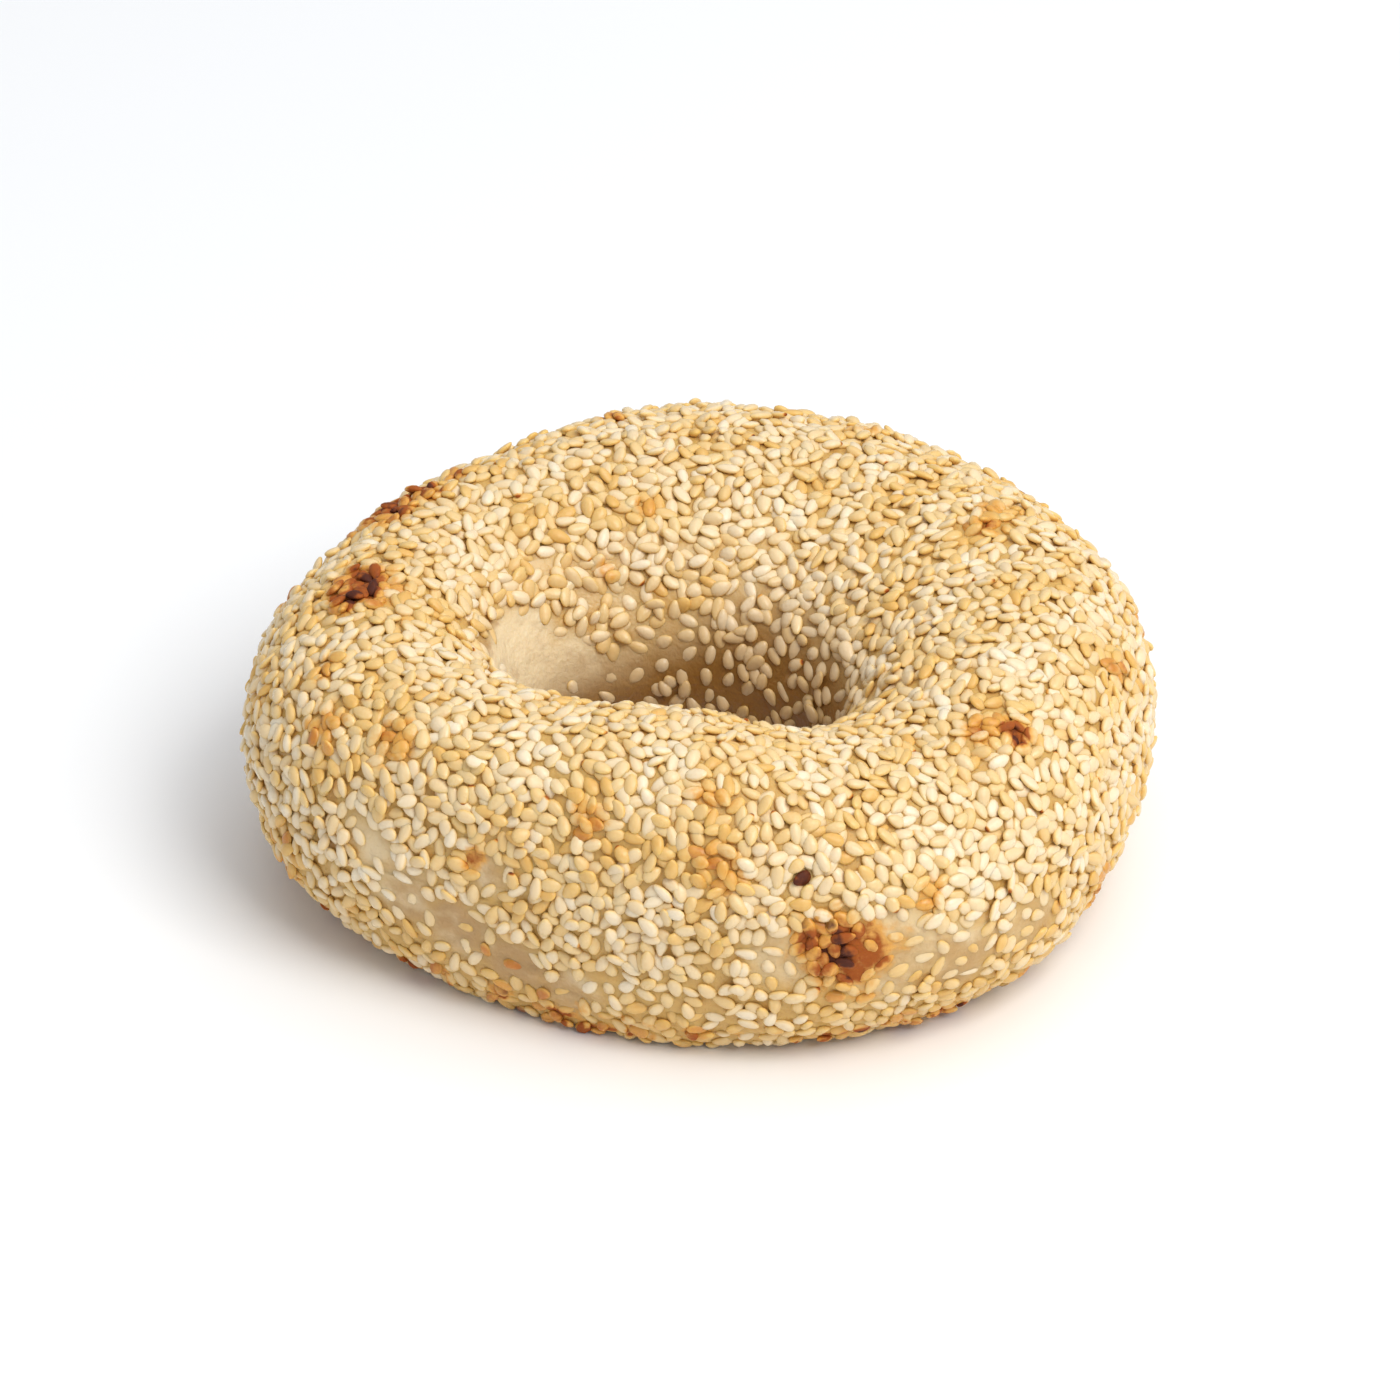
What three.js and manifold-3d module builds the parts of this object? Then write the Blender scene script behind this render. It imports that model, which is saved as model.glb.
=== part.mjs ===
// A sesame bagel: one plump, hand-shaped ring of baked dough, a little oval, with a slanting
// oval hole, a flat foot underneath and hulled sesame seeds baked into its crust.
//
// Millimetres, +Z up. The bagel lies on its foot at z = 0, centred on the Z axis.
// Angles are in degrees: round the ring, 0 is +X and 90 is +Y; round the dough's own
// section, 0 is the outer side, 90 the crest, 180 the wall of the hole and 270 the foot.

import * as THREE from "three";
import { mergeVertices } from "three/addons/utils/BufferGeometryUtils.js";
import Module from "manifold-3d";

// ---- driving dimensions of the dough ring -----------------------------------------------

const OUTER_RADIUS = 55.4; // mean radius at the widest level
const BELLY_HEIGHT = 19.5; // level of the widest outline
const CREST_HEIGHT = 39.2; // mean height of the top
const CREST_RADIUS = 36.5; // mean radius of the highest line
const WAIST_HEIGHT = 16.0; // level at which the hole is narrowest
const FOOT_INNER = 27.0; // flat ring that the bagel rests on
const FOOT_OUTER = 41.5;

// The narrowest outline of the hole, an ellipse off the centre and turned.
const HOLE = { x: -3.6, y: -2.6, halfLength: 18.0, halfWidth: 11.1, turn: -13.5 };

// Fullness of each quarter of the section: 2 is a true ellipse, more is squarer.
const FULLNESS = { shoulder: 2.15, throat: 2.0, belly: 2.25 };

// Unevenness from shaping by hand. A wave runs the whole way round: [how many, size, peak angle].
// A swell is local: [size, angle, half width].
const OUTLINE_WAVES = [
  [1, 1.4, 72],
  [2, 2.0, 0],
  [3, 2.0, 74],
  [4, 0.9, 15],
];
const OUTLINE_SWELLS = [
  [-1.8, 230, 26],
  [0.6, 48, 25],
  [1.1, 316, 18],
  [-0.8, 345, 14],
  [-0.6, 140, 25],
];
const CREST_HEIGHT_WAVES = [[1, 0.6, 34]];
const CREST_HEIGHT_SWELLS = [
  [-3.5, 309, 26],
  [1.4, 264, 28],
  [-0.5, 152, 26],
  [0.3, 95, 25],
  [-1.3, 45, 22],
];
const CREST_RADIUS_WAVES = [[2, 2.2, 0]];
const CREST_RADIUS_SWELLS = [
  [3.2, 301, 22],
  [0.8, 235, 30],
  [2.9, 207, 24],
];
const HOLE_SWELLS = [
  [3.8, 206, 26],
  [2.1, 322, 26],
];
const THROAT_SWELLS = [
  [-0.25, 160, 36],
  [0.4, 214, 26],
];

// Low dimples and bulges over the crust, shallower towards the hole:
// [size, waves round the ring, phase, waves round the section, phase].
const CRUST_RIPPLES = [
  [0.32, 5, 60, 2, 40],
  [0.22, 8, 200, 3, 110],
  [0.16, 13, 310, 4, 250],
];
const RIPPLE_END = [0.35, 0.85]; // they fade out downwards, between these shares of the way to the foot

// ---- sesame seeds -------------------------------------------------------------------------

const SEED = { length: 3.1, width: 1.95, thickness: 1.4, taper: 0.3 };
const SEED_SUNK = 0.1; // how far its widest outline lies under the crust
const SEED_COUNT = 300;
const SEED_CANDIDATES = 14; // places tried for each seed; the one furthest from its neighbours is kept
const SEED_TILT = 12; // most that a seed leans from lying flat
const SEED_LOWEST = 3.2; // no seed on the foot or just above it
const SEED_DRAW = 20; // starts the row of random numbers that spreads the seeds

// Places where the crust stays bare: [angle round the ring, angle round the section, radius].
const BARE_PATCHES = [
  [184, 140, 7.0],
  [236, 338, 7.0],
  [222, 352, 4.5],
  [66, 335, 5.5],
];

// ---- mesh resolution ----------------------------------------------------------------------

const RING_STEPS = 54;
const QUARTER_STEPS = [6, 5, 4, 4]; // shoulder, throat, lower wall of the hole, belly
const SAME_POINT = 1e-4; // vertices closer than this are one
const SLOPE_STEP = 1e-3; // radians between the two points from which a slope of the crust is read

const radians = THREE.MathUtils.degToRad;

function randomFrom(seed) {
  let state = seed;
  return () => {
    state = (Math.imul(state, 1664525) + 1013904223) >>> 0;
    return state / 2 ** 32;
  };
}

// How far the angle t, in radians, leans into the waves and swells of one of the lists above.
function waves(list, t) {
  return list.reduce(
    (sum, [count, size, peak]) => sum + size * Math.cos(count * (t - radians(peak))),
    0,
  );
}

function swells(list, t) {
  return list.reduce((sum, [size, angle, halfWidth]) => {
    const away = THREE.MathUtils.euclideanModulo(t - radians(angle) + Math.PI, 2 * Math.PI) - Math.PI;
    return sum + size * Math.exp(-((away / radians(halfWidth)) ** 2));
  }, 0);
}

// Distance from the axis to the narrowest outline of the hole, at ring angle t.
function holeRadius(t) {
  const turn = radians(HOLE.turn);
  const along = Math.cos(t - turn) / HOLE.halfLength;
  const across = Math.sin(t - turn) / HOLE.halfWidth;
  const startAlong = -(HOLE.x * Math.cos(turn) + HOLE.y * Math.sin(turn)) / HOLE.halfLength;
  const startAcross = -(-HOLE.x * Math.sin(turn) + HOLE.y * Math.cos(turn)) / HOLE.halfWidth;
  const a = along ** 2 + across ** 2;
  const b = along * startAlong + across * startAcross;
  const c = startAlong ** 2 + startAcross ** 2 - 1;
  return (-b + Math.sqrt(b * b - a * c)) / a;
}

// The sizes of the section at ring angle t.
function sectionAt(t) {
  return {
    outer: OUTER_RADIUS + waves(OUTLINE_WAVES, t) + swells(OUTLINE_SWELLS, t),
    crestHeight: CREST_HEIGHT + waves(CREST_HEIGHT_WAVES, t) + swells(CREST_HEIGHT_SWELLS, t),
    crestRadius: CREST_RADIUS + waves(CREST_RADIUS_WAVES, t) + swells(CREST_RADIUS_SWELLS, t),
    hole: holeRadius(t) + swells(HOLE_SWELLS, t),
    throat: FULLNESS.throat + swells(THROAT_SWELLS, t),
  };
}

// One point of the crust, at ring angle t and section angle p, both in radians.
// The foot is at p = 270 degrees; `onOuterSide` says which of its two edges is meant there.
function crustPoint(t, p, onOuterSide = Math.cos(p) >= 0) {
  const size = sectionAt(t);
  const above = Math.sin(p) >= 0;
  let fullness = FULLNESS.belly;
  if (above) fullness = onOuterSide ? FULLNESS.shoulder : size.throat;
  const level = onOuterSide ? BELLY_HEIGHT : WAIST_HEIGHT;
  const side = onOuterSide ? size.outer : size.hole;
  const footEdge = onOuterSide ? FOOT_OUTER : FOOT_INNER;
  const middle = above ? size.crestRadius : footEdge;
  const reach = above ? size.crestHeight : 0;
  const sideways = Math.abs(Math.cos(p)) ** (2 / fullness);
  const upwards = Math.abs(Math.sin(p)) ** (2 / fullness);
  const offFoot = 1 - THREE.MathUtils.smoothstep(-Math.sin(p), ...RIPPLE_END);
  const radius = middle + (side - middle) * sideways;
  const height = level + (reach - level) * upwards;
  const waviness = CRUST_RIPPLES.reduce(
    (sum, [rise, round, roundPhase, over, overPhase]) =>
      sum + rise * Math.sin(round * t + radians(roundPhase)) * Math.sin(over * p + radians(overPhase)),
    0,
  );
  const ripple = (offFoot * waviness * radius) / size.outer;
  const fromAxis = radius + ripple * Math.cos(p);
  return new THREE.Vector3(fromAxis * Math.cos(t), fromAxis * Math.sin(t), height + ripple * Math.sin(p));
}

// Points straight out of the crust at ring angle t and section angle p. Its length is the area of
// crust for each square radian there.
function crustSpread(t, p) {
  const round = crustPoint(t + SLOPE_STEP, p).sub(crustPoint(t - SLOPE_STEP, p));
  const over = crustPoint(t, p + SLOPE_STEP).sub(crustPoint(t, p - SLOPE_STEP));
  return round.cross(over).divideScalar(4 * SLOPE_STEP ** 2);
}

// The section as a list of [section angle, on the outer side], from the outer side over the
// crest, down the hole and across the flat foot.
function sectionAngles() {
  const angles = [];
  QUARTER_STEPS.forEach((steps, quarter) => {
    const onOuterSide = quarter === 0 || quarter === 3;
    const from = quarter === 3 ? 0 : 1; // the belly quarter starts with the foot's outer edge
    for (let i = from; i <= steps; i++) {
      angles.push([((quarter + i / steps) * Math.PI) / 2, onOuterSide]);
    }
  });
  return angles;
}

// A torus whose every vertex is moved to the crust's own place.
function ringGeometry() {
  const section = sectionAngles();
  const geometry = new THREE.TorusGeometry(CREST_RADIUS, BELLY_HEIGHT, section.length, RING_STEPS);
  const place = geometry.getAttribute("position");
  for (let j = 0; j <= section.length; j++) {
    const [p, onOuterSide] = section[j % section.length];
    for (let i = 0; i <= RING_STEPS; i++) {
      const t = (2 * Math.PI * (i % RING_STEPS)) / RING_STEPS;
      place.setXYZ(j * (RING_STEPS + 1) + i, ...crustPoint(t, p, onOuterSide));
    }
  }
  return geometry;
}

// A hulled sesame seed lying along X: a flattened drop, pointed at +X and round at -X, with the
// blunt ridge of its upper side. Its vertices are pushed out to a ball, which is then flattened.
function seedGeometry() {
  const outline = [
    [1, 0, 0],
    [0.35, 0.94, 0],
    [-0.6, 0.8, 0],
    [-1, 0, 0],
    [-0.6, -0.8, 0],
    [0.35, -0.94, 0],
  ];
  const ridge = [
    [0.42, 0, 0.9],
    [-0.5, 0, 0.86],
  ];
  const underside = [0, 0, -1];
  const upper = [0, 1, 6, 1, 7, 6, 1, 2, 7, 2, 3, 7, 3, 4, 7, 4, 5, 7, 5, 6, 7, 5, 0, 6];
  const lower = outline.flatMap((_, i) => [(i + 1) % outline.length, i, outline.length + ridge.length]);
  const vertices = [...outline, ...ridge, underside].flat();
  const geometry = new THREE.PolyhedronGeometry(vertices, [...upper, ...lower], 0.5, 0);
  const place = geometry.getAttribute("position");
  for (let i = 0; i < place.count; i++) {
    const x = place.getX(i);
    const taper = 1 - SEED.taper * x;
    place.setXYZ(i, x * SEED.length, place.getY(i) * SEED.width * taper, place.getZ(i) * SEED.thickness);
  }
  return geometry;
}

function isBare(point) {
  return BARE_PATCHES.some(
    ([t, p, radius]) => crustPoint(radians(t), radians(p)).distanceTo(point) < radius,
  );
}

// Evenly spread places for the seeds: of several random ones on the seeded crust, each time the
// one that is furthest from all the seeds that already lie there.
function seedPlaces() {
  const random = randomFrom(SEED_DRAW);
  const widest = OUTER_RADIUS * (OUTER_RADIUS - CREST_RADIUS + BELLY_HEIGHT / 2);
  const draw = () => {
    for (;;) {
      const t = random() * 2 * Math.PI;
      const p = random() * 2 * Math.PI;
      const point = crustPoint(t, p);
      const area = crustSpread(t, p).length();
      if (random() * widest < area && point.z > SEED_LOWEST && !isBare(point)) return { t, p, point };
    }
  };
  const places = [];
  while (places.length < SEED_COUNT) {
    let best = null;
    for (let i = 0; i < SEED_CANDIDATES; i++) {
      const place = draw();
      place.room = Math.min(...places.map((other) => other.point.distanceTo(place.point)), OUTER_RADIUS);
      if (!best || place.room > best.room) best = place;
    }
    best.turn = random() * 2 * Math.PI;
    best.lean = radians(SEED_TILT) * (2 * random() - 1);
    best.roll = radians(SEED_TILT) * (2 * random() - 1);
    places.push(best);
  }
  return places;
}

// A seed's matrix: turned in its own plane, leaning a little, its flat side on the faceted ring.
function seedMatrix({ t, p, point, turn, lean, roll }, ring) {
  const normal = crustSpread(t, p).normalize();
  const above = point.clone().addScaledVector(normal, SEED.length);
  const [seat] = new THREE.Raycaster(above, normal.clone().negate()).intersectObject(ring);
  const upright = new THREE.Quaternion().setFromUnitVectors(new THREE.Vector3(0, 0, 1), normal);
  const own = new THREE.Quaternion().setFromEuler(new THREE.Euler(roll, lean, turn, "ZYX"));
  return new THREE.Matrix4().compose(
    seat.point.clone().addScaledVector(normal, -SEED_SUNK),
    upright.multiply(own),
    new THREE.Vector3(1, 1, 1),
  );
}

// ---- joining ------------------------------------------------------------------------------

const wasm = await Module();
wasm.setup();

function solidFrom(geometry) {
  const bare = geometry.clone();
  bare.deleteAttribute("normal");
  bare.deleteAttribute("uv");
  const merged = mergeVertices(bare, SAME_POINT);
  return new wasm.Manifold(
    new wasm.Mesh({
      numProp: 3,
      vertProperties: merged.getAttribute("position").array,
      triVerts: new Uint32Array(merged.index.array),
    }),
  );
}

function geometryFrom(solid) {
  const mesh = solid.getMesh();
  const geometry = new THREE.BufferGeometry();
  geometry.setAttribute("position", new THREE.BufferAttribute(mesh.vertProperties, 3));
  return geometry.setIndex(new THREE.BufferAttribute(mesh.triVerts, 1));
}

function seededRing() {
  const dough = ringGeometry();
  const ring = new THREE.Mesh(dough);
  const seed = seedGeometry();
  return seedPlaces().reduce(
    (solid, place) => solid.add(solidFrom(seed.clone().applyMatrix4(seedMatrix(place, ring)))),
    solidFrom(dough),
  );
}

function bagelMesh() {
  const geometry = geometryFrom(seededRing());
  geometry.computeVertexNormals();
  const crust = new THREE.MeshStandardMaterial({ color: 0xe6cd9a, roughness: 0.62, metalness: 0 });
  const mesh = new THREE.Mesh(geometry, crust);
  mesh.name = "bagel";
  return mesh;
}

const bagel = bagelMesh();
const middle = new THREE.Box3().setFromObject(bagel).getCenter(new THREE.Vector3());
bagel.position.set(-middle.x, -middle.y, 0);

const group = new THREE.Group();
group.add(bagel);
export default group;
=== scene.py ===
"""A sesame bagel: uneven hand-shaped dough under thousands of separate hulled seeds.

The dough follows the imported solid's own form and stands for it. Shape values are in millimetres and
degrees, as on the solid. Round the ring 0 is +X and 90 is +Y. Round the dough's own section 0 is the
outer side, 90 the crest, 180 the wall of the hole and 270 the foot. Meshes are in metres.
"""

import math

import bmesh
import bpy
import numpy as np
from mathutils import Matrix, Vector, noise


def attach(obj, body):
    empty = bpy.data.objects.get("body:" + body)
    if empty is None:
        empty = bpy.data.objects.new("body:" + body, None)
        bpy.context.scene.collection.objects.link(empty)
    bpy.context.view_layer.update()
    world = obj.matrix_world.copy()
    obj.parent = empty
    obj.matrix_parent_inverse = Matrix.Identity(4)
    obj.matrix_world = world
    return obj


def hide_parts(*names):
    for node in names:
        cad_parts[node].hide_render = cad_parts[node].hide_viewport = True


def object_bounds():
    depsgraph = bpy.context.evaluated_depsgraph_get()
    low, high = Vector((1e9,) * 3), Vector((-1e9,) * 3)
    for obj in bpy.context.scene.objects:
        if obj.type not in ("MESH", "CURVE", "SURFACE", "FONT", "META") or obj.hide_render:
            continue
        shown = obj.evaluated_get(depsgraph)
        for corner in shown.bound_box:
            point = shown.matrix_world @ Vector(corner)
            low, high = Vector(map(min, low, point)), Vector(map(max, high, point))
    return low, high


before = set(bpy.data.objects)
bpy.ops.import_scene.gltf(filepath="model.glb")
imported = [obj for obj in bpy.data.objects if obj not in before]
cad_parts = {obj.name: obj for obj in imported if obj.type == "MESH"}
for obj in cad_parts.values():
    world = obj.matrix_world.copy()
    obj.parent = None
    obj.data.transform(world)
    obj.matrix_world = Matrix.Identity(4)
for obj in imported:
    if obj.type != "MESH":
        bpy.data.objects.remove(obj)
CAD_LOW, CAD_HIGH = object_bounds()
MM = 0.001
SMALLEST = 1e-12  # keeps a division from dividing by nothing

# ---- form of the dough ring ------------------------------------------------------------------

OUTER_RADIUS = 55.4
BELLY_HEIGHT = 19.5
CREST_HEIGHT = 39.2
CREST_RADIUS = 36.5
WAIST_HEIGHT = 16.0
FOOT_INNER = 27.0
FOOT_OUTER = 41.5
HOLE = {"x": -3.6, "y": -2.6, "half_length": 18.0, "half_width": 11.1, "turn": -13.5}
FULLNESS = {"shoulder": 2.15, "throat": 2.0, "belly": 2.25}  # 2 is an ellipse, and more is squarer

# Waves run the whole way round: (how many, size, peak angle).
# Swells are local: (size, angle, half width).
OUTLINE_WAVES = [(1, 1.4, 72), (2, 2.0, 0), (3, 2.0, 74), (4, 0.9, 15)]
OUTLINE_SWELLS = [(-1.8, 230, 26), (0.6, 48, 25), (1.1, 316, 18), (-0.8, 345, 14), (-0.6, 140, 25)]
CREST_HEIGHT_WAVES = [(1, 0.6, 34)]
CREST_HEIGHT_SWELLS = [
    (-3.5, 309, 26),
    (1.4, 264, 28),
    (-0.5, 152, 26),
    (0.3, 95, 25),
    (-1.3, 45, 22),
]
CREST_RADIUS_WAVES = [(2, 2.2, 0)]
CREST_RADIUS_SWELLS = [(3.2, 301, 22), (0.8, 235, 30), (2.9, 207, 24)]
HOLE_SWELLS = [(3.8, 206, 26), (2.1, 322, 26)]
THROAT_SWELLS = [(-0.25, 160, 36), (0.4, 214, 26)]
# Dimples: (size, waves round the ring, phase, waves round the section, phase).
CRUST_RIPPLES = [(0.32, 5, 60, 2, 40), (0.22, 8, 200, 3, 110), (0.16, 13, 310, 4, 250)]
RIPPLE_END = (0.35, 0.85)  # they fade out downwards, between these shares of the way to the foot

RING_STEPS = 420
SECTION_STEPS = 190
SECTION_SAMPLES = 160  # for each quarter, before its points are spread evenly
DOUGH_INSET = 0.8  # the dough lies this far inside the solid, whose own seeds stand proud of it
FOOT_LEVEL = 0.3  # seeds under the foot fill the rest, down to the table
FOOT_FADE = (0.0, 3.0)  # heights over which the skin's relief and inset begin

# How far the skin rises and falls, in millimetres.
SWELL_RISE = 0.22
DIMPLE_RISE = 0.16
WRINKLE_RISE = 0.44  # low on the side only
WRINKLE_STRETCH = (1.0, 1.0, 2.6)  # wrinkles run round the ring
BLISTER_RISE = 0.45  # where it browned

# Noise: (size of its lumps in millimetres, octaves, a shift that makes each one its own).
FRACTAL = (1.0, 2.0)  # how fast the octaves weaken, and how much finer each one is
SWELL_NOISE = (11.0, 2, 3.0)
DIMPLE_NOISE = (3.0, 3, 31.0)
WRINKLE_NOISE = (4.0, 3, 47.0)
RAGGED_NOISE = (2.6, 3, 11.0)
TRAY_NOISE = (3.4, 3, 71.0)
GOLDEN_NOISE = (9.0, 3, 5.0)
COVER_NOISE = (4.0, 2, 23.0)

# ---- what the oven and the hands did to it, and painted shade --------------------------------

# Skin tone from 0, pale, to 1, golden.
GOLDEN_CONTRAST = 0.75  # of the golden patches, which lie all over it
LOW_SHADE = 0.42  # painted shade: a deeper tone near the foot
HOLE_PALE = 0.6  # less in the hole
LOW_PART = (5.0, 23.0)  # heights between which the low part of the side ends

# Browned places: (ring angle, section angle, radius, how brown from 0 to 1).
BROWNED = [
    # Those that the photograph shows.
    (178, 80, 5.4, 0.92),
    (182, 74, 2.8, 0.98),
    (197, 62, 2.8, 0.48),
    (206, 46, 4.0, 0.55),
    (217, 56, 4.0, 0.45),
    (152, 60, 5.0, 0.86),
    (146, 67, 3.4, 0.84),
    (137, 70, 3.0, 0.55),
    (22, 89, 2.6, 0.60),
    (26, 80, 4.0, 0.38),
    (324, 66, 2.6, 0.92),
    (322, 73, 4.6, 0.45),
    (286, 0, 4.8, 1.08),
    (289, 358, 7.2, 0.76),
    (106, 64, 2.6, 0.62),
    (64, 66, 2.6, 0.50),
    (270, 60, 3.4, 0.36),
    (272, 30, 4.4, 0.40),
    (251, 43, 3.2, 0.38),
    (299, 21, 3.4, 0.40),
    (234, 16, 2.2, 0.66),
    (333, 334, 3.0, 0.62),
    (110, 117, 2.2, 0.42),
    (132, 135, 1.8, 0.40),
    # More of the same on the sides that it doesn't show.
    (40, 30, 5.0, 0.55),
    (70, 12, 3.6, 0.85),
    (72, 6, 6.4, 0.50),
    (95, 35, 3.6, 0.45),
    (120, 20, 4.2, 0.60),
    (150, 5, 3.4, 0.75),
    (168, 30, 4.4, 0.42),
    (10, 20, 3.8, 0.50),
    (350, 40, 3.0, 0.40),
    (200, 330, 3.4, 0.50),
    (100, 335, 4.0, 0.55),
    (15, 325, 4.6, 0.55),
]
BROWN_RAGGED = 0.42  # how ragged its edge is
BROWN_FADE = (0.2, 1.3)  # it fades out between these shares of its radius
BROWN_HALO = 0.20  # share of its brown that reaches out further
HALO_FADE = (0.8, 2.7)  # and fades out between these
BURNT_SEEDS = [(282, 30), (60, 40)]  # ring and section angle of single seeds that went dark
FOOT_BROWN = 0.78  # how brown the ragged spots are where the crust nears the baking tray
FOOT_BROWN_TOP = 8.5  # up to this height
FOOT_SPOTS = (-0.05, 0.5)  # noise values over which such a spot begins

# Places where seeds lie thinly: (ring angle, section angle, radius, share of the seeds left).
THIN = [
    # Bare dough on the wall of the hole.
    (170, 152, 6.6, 0.0),
    (182, 148, 4.6, 0.04),
    (158, 166, 6.0, 0.04),
    (140, 174, 5.0, 0.25),
    # Low on the left front.
    (224, 353, 4.4, 0.26),
    (231, 345, 4.8, 0.20),
    (240, 335, 4.6, 0.22),
    (248, 326, 4.2, 0.32),
    (219, 8, 3.0, 0.25),
    (236, 14, 2.6, 0.15),
    # Low on the right front.
    (295, 356, 6.4, 0.42),
    (304, 348, 5.0, 0.40),
    (280, 356, 4.0, 0.45),
    (315, 350, 4.5, 0.50),
    # On the sides that the photograph doesn't show.
    (66, 335, 6.0, 0.22),
    (160, 345, 5.5, 0.25),
    (20, 350, 5.0, 0.40),
    (115, 350, 4.5, 0.40),
]
THIN_EDGE = 2.2  # how softly a thin place ends
THIN_WOBBLE = 1.6  # how far its edge strays
THIN_SINK = 0.42  # how much deeper its seeds lie in the dough

# The hollow is the lower part of the hole, darkened with painted shade.
HOLLOW_LEVEL = 22.5  # height at which it is half dark
HOLLOW_LEAN = 6.5  # it reaches this much higher on one side
HOLLOW_SIDE = 30  # ring angle of that side
HOLLOW_EDGE = 5.5  # how softly it begins
HOLE_HANG = 1.3  # how strongly the seeds there point up and down the wall

# The wall of the hole, and what faces down.
WALL_FACING = 0.8  # the wall's normals point up less than this
WALL_COVERED = (21.0, 33.0)  # heights between which the wall turns to a full cover
WALL_SHARE = 0.64  # seeds on the wall below that
WALL_CLUMPS = 0.28  # how much they gather in clumps there
WALL_LEAST = 0.1  # least share of seeds between the clumps
FOOT_FACING = -0.9  # the foot's normals point up less than this
FOOT_SHARE = 0.42  # seeds pressed into the foot

# ---- seeds -----------------------------------------------------------------------------------

SEED_DRAW = 31  # starts the random draws
SEED = {"length": 2.72, "width": 1.80, "thickness": 1.05}
SEED_SIDES = 8
SEED_RINGS = 7
SEED_TAPER = 0.17  # it is this much narrower at its point, and wider at its round end
SEED_POINT = 0.06  # and still narrower at the very point
SEED_FLAT_EDGE = 0.18  # its edges are this much flatter than its middle
SEED_UNEVENNESS = 0.085  # spread of a seed's length, width and thickness
SEED_LEAST, SEED_MOST = 0.8, 1.2  # limits of that spread
SEED_CURL = 0.16  # most that its ends bend, in millimetres
SEED_LOPSIDED = 0.10  # most that it widens to one end

# Laid one after the other: (tries, room kept to this layer's seeds, room kept to the ones below,
# least lift, most lift, most lean). Room is a share of a seed's own width.
SEED_LAYERS = [
    (60000, 0.66, 0.66, -0.08, 0.20, 20),
    (50000, 0.70, 0.38, 0.24, 0.48, 34),
    (20000, 0.72, 0.32, 0.50, 0.72, 34),
]
PILED = (8.0, 27.0)  # heights between which the seeds turn from one layer into a pile
PILE_COVER = 0.85  # only where the seeds below cover at least this share
NO_SEEDS = 0.02  # a smaller share than this counts as bare
SPARSE = 0.12  # seeds lie no further apart than this share asks

# What bakes a seed, and the painted shade that gives it a deeper kind near the foot.
BAKED_BY_LUCK = 0.50
BAKED_IN_GOLDEN = 0.40
BAKED_IN_BROWN = 0.80
LOW_SHADE_ON_SEEDS = 0.12
UNBAKED_IN_HOLLOW = 0.30
BROWN_SPREAD = (0.55, 1.35)  # how a seed's own brown differs from its place's

# A few seeds have a browned tip.
TIP_SHARE = 0.06
TIP_BROWN = (0.3, 1.1)
TIP_REACH = (0.6, 1.0)  # it browns between these, from its middle, 0, to its point, 1
UNDER_SIDE = (-0.75, 0.10)  # painted shade covers it between these, from its top, -1, to its bottom, 1

# ---- colours, as seen in daylight, and painted shade -----------------------------------------


def srgb(red, green, blue):
    """A colour read as 0 to 255 on screen, as the linear values that a shader takes."""
    parts = [c / 255 for c in (red, green, blue)]
    linear = [c / 12.92 if c <= 0.04045 else ((c + 0.055) / 1.055) ** 2.4 for c in parts]
    return (*linear, 1.0)


DOUGH_PALE = srgb(234, 213, 174)
# The deeper dough tone, of the golden patches and of the painted shade near the foot.
DOUGH_GOLD_AND_SHADE = srgb(184, 147, 101)
DOUGH_CREVICE_SHADE = srgb(208, 166, 94)  # painted shade in the crevices between seeds that lie close together
DOUGH_HOLLOW_SHADE = srgb(148, 104, 44)  # painted shade down in the hole
SEED_UNDER_SHADE = srgb(232, 192, 106)  # painted shade on the side of a seed that lies in the dough
SEED_HOLLOW_SHADE = srgb(184, 146, 90)  # painted shade on a seed down in the hole

# What heat does: (the colour begins at this much heat, has taken over at this much, colour).
TOASTING = [
    (0.14, 0.50, srgb(222, 162, 72)),
    (0.44, 0.74, srgb(160, 80, 12)),
    (0.80, 1.04, srgb(80, 28, 2)),
]

TOAST_RAGGED = 0.5  # how ragged fine grain makes the edges of those colours
TOAST_GRAIN = 1100.0  # scale of that grain
HEAT_BEGINS = (0.02, 0.3)  # heat over which it sets in
TONE_DRYNESS = 0.3  # how dry the deeper tone is, where charred is 1
UNDER_SHADE_SHARE = 0.75  # of the painted shade on a seed's underside
HOLLOW_SHADE_SHARE = 0.6  # of the painted shade on seeds in the hollow

# How fine the noise in the materials is.
MOTTLE_DETAIL = 3.0
GRAIN_DETAIL = 4.0
PIT_DETAIL = 2.0

# How each surface takes the light. Sizes are in metres, and scales are in lumps for each metre.
DOUGH_FINISH = {
    "mottle": 1.8,
    "mottle_size": 0.0028,
    "roughness": 0.42,
    "dry_roughness": 0.50,  # added where it is dry
    "gloss": 0.5,
    "light_let_in": 0.60,
    "light_by_colour": (1.0, 0.90, 0.75),
    "light_reach": 0.0014,
    "swell_scale": 420.0,
    "pit_scale": 1900.0,
    "pits": 0.35,
    "grain": 0.65,
    "grain_depth": 0.0006,
}
SEED_FINISH = {
    "mottle": 1.1,
    "mottle_size": 0.0011,
    "roughness": 0.27,
    "dry_roughness": 0.48,
    "gloss": 0.42,
    "light_let_in": 0.35,
    "light_by_colour": (1.0, 1.0, 1.0),
    "light_reach": 0.0005,
    "swell_scale": 900.0,
    "pit_scale": 4200.0,
    "pits": 0.3,
    "grain": 0.35,
    "grain_depth": 0.0003,
}

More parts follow.
